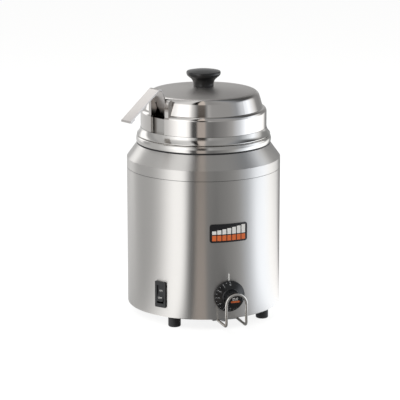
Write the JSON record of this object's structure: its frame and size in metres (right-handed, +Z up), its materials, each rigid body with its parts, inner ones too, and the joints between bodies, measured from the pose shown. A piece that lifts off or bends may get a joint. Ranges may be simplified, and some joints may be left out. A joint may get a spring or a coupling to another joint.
{
  "type": "soup kettle",
  "caption": "Round countertop soup kettle: brushed steel body, lift-out jar, notched lid with knob, ladle, guarded thermostat dial and rocker switch.",
  "frame": {"origin": "on the counter, under the body's axis", "axes": "+Z up along the body's axis; the dial faces -Y, the front; +X to the right seen from the front"},
  "size_m": [0.2131, 0.2229, 0.3071],
  "materials": {
    "wrapper_steel": "brushed round the body",
    "polished_steel": "polished, faint spinning lines",
    "plain_steel": "mill finish, zinc-plated fasteners",
    "copper_alloy": "plain",
    "black_phenolic": "satin black moulding",
    "dial_cap": "gloss black with a printed pointer",
    "switch_plastic": "fine-grained black nylon",
    "black_rubber": "matte black",
    "inlet_nylon": "black nylon",
    "ceramic_white": "unglazed steatite",
    "thermostat_case": "brown phenolic",
    "fibre_blanket": "needled fibre blanket",
    "lead_insulation": "braided sleeve",
    "badge_film": "printed film",
    "mark_paint": "printed white"
  },
  "bodies": {
    "housing": {"outer_wrapper": "wrapper_steel", "shoulder_shell": "wrapper_steel", "water_vessel": "polished_steel", "dial_guard": "polished_steel", "base_plate": "plain_steel", "heater_clamp_bar": "plain_steel", "heater_clamp_stud": "plain_steel", "heater_clamp_nut": "plain_steel", "thermostat_bracket": "plain_steel", "guard_clamp": "plain_steel", "guard_clamp_screw": "plain_steel", "guard_clamp_nut": "plain_steel", "foot_screws": "plain_steel", "foot_nuts": "plain_steel", "cutout_screws": "plain_steel", "thermostat_screws": "plain_steel", "terminal_block_screws": "plain_steel", "earth_screw": "plain_steel", "rocker_pin": "plain_steel", "heating_element": "plain_steel", "sensing_bulb": "copper_alloy", "capillary_tube": "copper_alloy", "thermostat_terminals": "copper_alloy", "switch_terminals": "copper_alloy", "switch_housing": "switch_plastic", "rim_gasket": "black_rubber", "foot_front_right": "black_rubber", "foot_rear_right": "black_rubber", "foot_rear_left": "black_rubber", "foot_front_left": "black_rubber", "cord_bushing": "inlet_nylon", "cord_bushing_nut": "inlet_nylon", "high_limit_cutout": "ceramic_white", "terminal_block": "ceramic_white", "thermostat_body": "thermostat_case", "insulation_jacket": "fibre_blanket", "line_lead": "lead_insulation", "switch_lead": "lead_insulation", "heater_lead": "lead_insulation", "return_lead": "lead_insulation", "neutral_lead": "lead_insulation", "earth_lead": "lead_insulation", "badge_plate": "badge_film", "index_mark": "mark_paint"},
    "knob": {"control_knob": "black_phenolic", "knob_cap": "dial_cap", "thermostat_shaft": "plain_steel"},
    "rocker": {"switch_rocker": "switch_plastic"},
    "jar": {"jar": "polished_steel", "jar_collar": "polished_steel"},
    "lid": {"lid": "polished_steel", "lid_knob": "black_phenolic", "lid_knob_screw": "plain_steel", "lid_knob_washer": "plain_steel"},
    "ladle": {"ladle_bowl": "polished_steel", "ladle_handle": "polished_steel", "ladle_rivets": "polished_steel"}
  },
  "joints": [
    {"name": "jar_lift", "type": "slide", "parent": "housing", "child": "jar", "axis": [0, 0, 1], "range_m": [0, 0.16]},
    {"name": "lid_lift", "type": "slide", "parent": "jar", "child": "lid", "axis": [0, 0, 1], "range_m": [0, 0.12]},
    {"name": "ladle_lift", "type": "slide", "parent": "jar", "child": "ladle", "axis": [-0.3127, -0.1302, 0.9409], "range_m": [0, 0.14]},
    {"name": "knob_turn", "type": "hinge", "parent": "housing", "child": "knob", "pos_m": [0, -0.1, 0.0434], "axis": [0, 1, 0], "range_deg": [0, 270]},
    {"name": "rocker_tilt", "type": "hinge", "parent": "housing", "child": "rocker", "pos_m": [-0.07076, -0.05529, 0.0424], "axis": [0.6157, -0.788, 0], "range_deg": [0, 20]}
  ]
}
